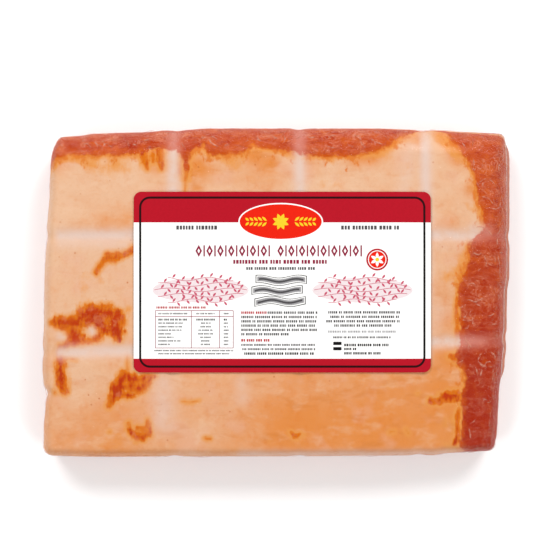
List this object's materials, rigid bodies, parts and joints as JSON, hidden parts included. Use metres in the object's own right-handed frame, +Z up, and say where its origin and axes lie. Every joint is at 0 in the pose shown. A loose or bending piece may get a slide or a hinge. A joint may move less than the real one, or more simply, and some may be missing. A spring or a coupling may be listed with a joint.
{
  "type": "vacuum-packed slab of smoked pancetta",
  "caption": "Vacuum-packed slab of smoked pancetta in tight clear film, lying flat, with a rounded rectangular paper label on its fat side.",
  "frame": {"origin": "middle of the pack's bounding box in plan, on the flat base that it rests on", "axes": "+X along the slab's length, towards the bag's welded end; +Y towards the long side that the label's top edge faces; +Z up, out of the labelled fat side"},
  "size_m": [0.2914, 0.2046, 0.0426],
  "materials": {
    "packed_pork": "glossy clear film over cream fat and red-brown lean",
    "label_paper": "printed, satin",
    "clear_film": "clear, glossy, shrunk tight"
  },
  "bodies": {
    "root": {"pack": "packed_pork", "label": "label_paper"}
  },
  "joints": []
}
